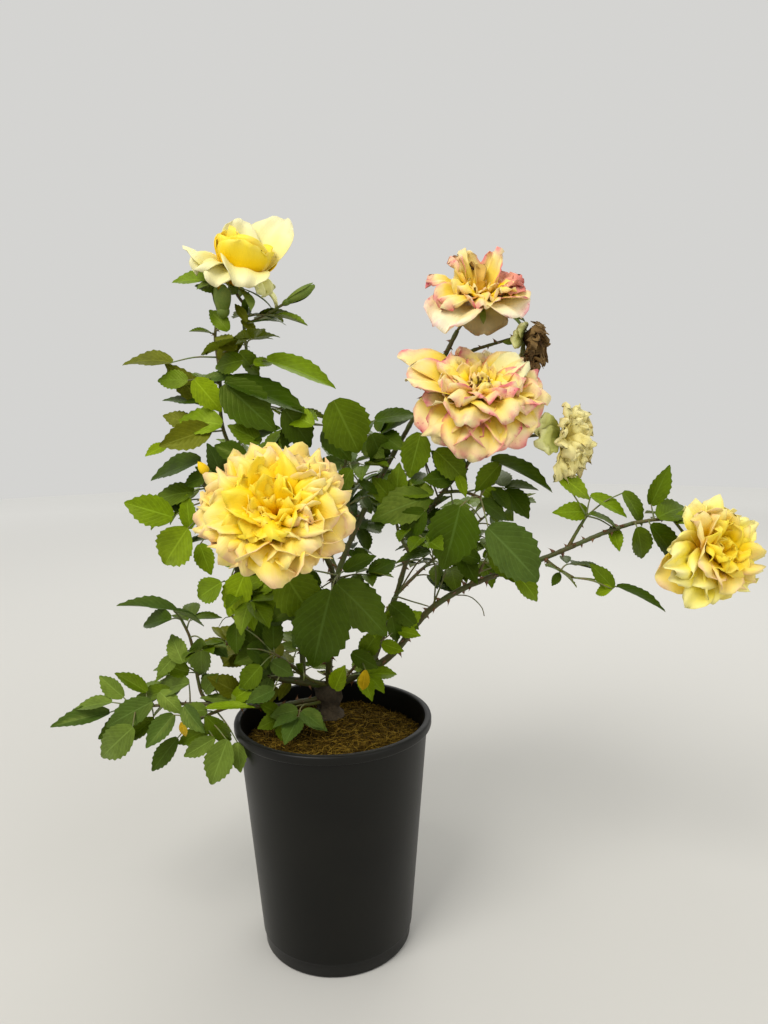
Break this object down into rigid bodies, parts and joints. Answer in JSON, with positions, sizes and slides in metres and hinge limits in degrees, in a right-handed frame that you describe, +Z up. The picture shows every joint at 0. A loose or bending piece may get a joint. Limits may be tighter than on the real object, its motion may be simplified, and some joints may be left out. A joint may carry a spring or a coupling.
{
  "type": "potted rose bush",
  "caption": "Rose bush in a round black nursery pot: thorny canes arching out of compost, compound leaves, open and spent yellow and blush roses.",
  "frame": {"origin": "middle of the pot's flat underside", "axes": "+Z up along the pot's axis, -Y the front with the largest bloom, +X to the right where the longest cane reaches"},
  "size_m": [0.6943, 0.3793, 0.7278],
  "materials": {
    "pot": "black polypropylene, faintly scuffed",
    "compost": "moist fibrous compost",
    "bark": "green-brown cane",
    "leaf": "satin leaf",
    "yellow_petal": "soft petal",
    "blush_petal": "soft petal, fading",
    "spent_petal": "dry and crumpled"
  },
  "bodies": {
    "root": {"nursery_pot": "pot", "compost": "compost", "trunk": "bark", "cane_left": "bark", "cane_low_left": "bark", "cane_front": "bark", "cane_back": "bark", "cane_right": "bark", "cane_centre": "bark", "cane_spent_bloom": "bark", "stub_inner": "bark", "stub_outer": "bark", "bloom_front": "yellow_petal", "bloom_top_left": "yellow_petal", "bloom_top_right": "blush_petal", "bloom_upper_right": "blush_petal", "bloom_far_right": "yellow_petal", "bloom_spent_brown": "spent_petal", "bloom_spent_cream": "blush_petal", "bud_top_left": "leaf", "bud_reddish": "leaf", "bud_left": "leaf", "foliage_left_outer": "leaf", "foliage_left_inner": "leaf", "foliage_left_middle": "leaf", "foliage_left_lower": "leaf", "foliage_front": "leaf", "foliage_low_left_far": "leaf", "foliage_low_left_near": "leaf", "foliage_low_left_upright": "leaf", "foliage_in_pot": "leaf", "foliage_crown_left": "leaf", "foliage_crown_right": "leaf", "foliage_centre_top": "leaf", "foliage_centre": "leaf", "foliage_centre_right": "leaf", "foliage_right_lower": "leaf", "foliage_right_middle": "leaf", "foliage_right_low": "leaf", "foliage_right_end": "leaf", "foliage_back_left": "leaf", "foliage_back_centre": "leaf", "foliage_back_right": "leaf", "foliage_back_low": "leaf"}
  },
  "joints": []
}
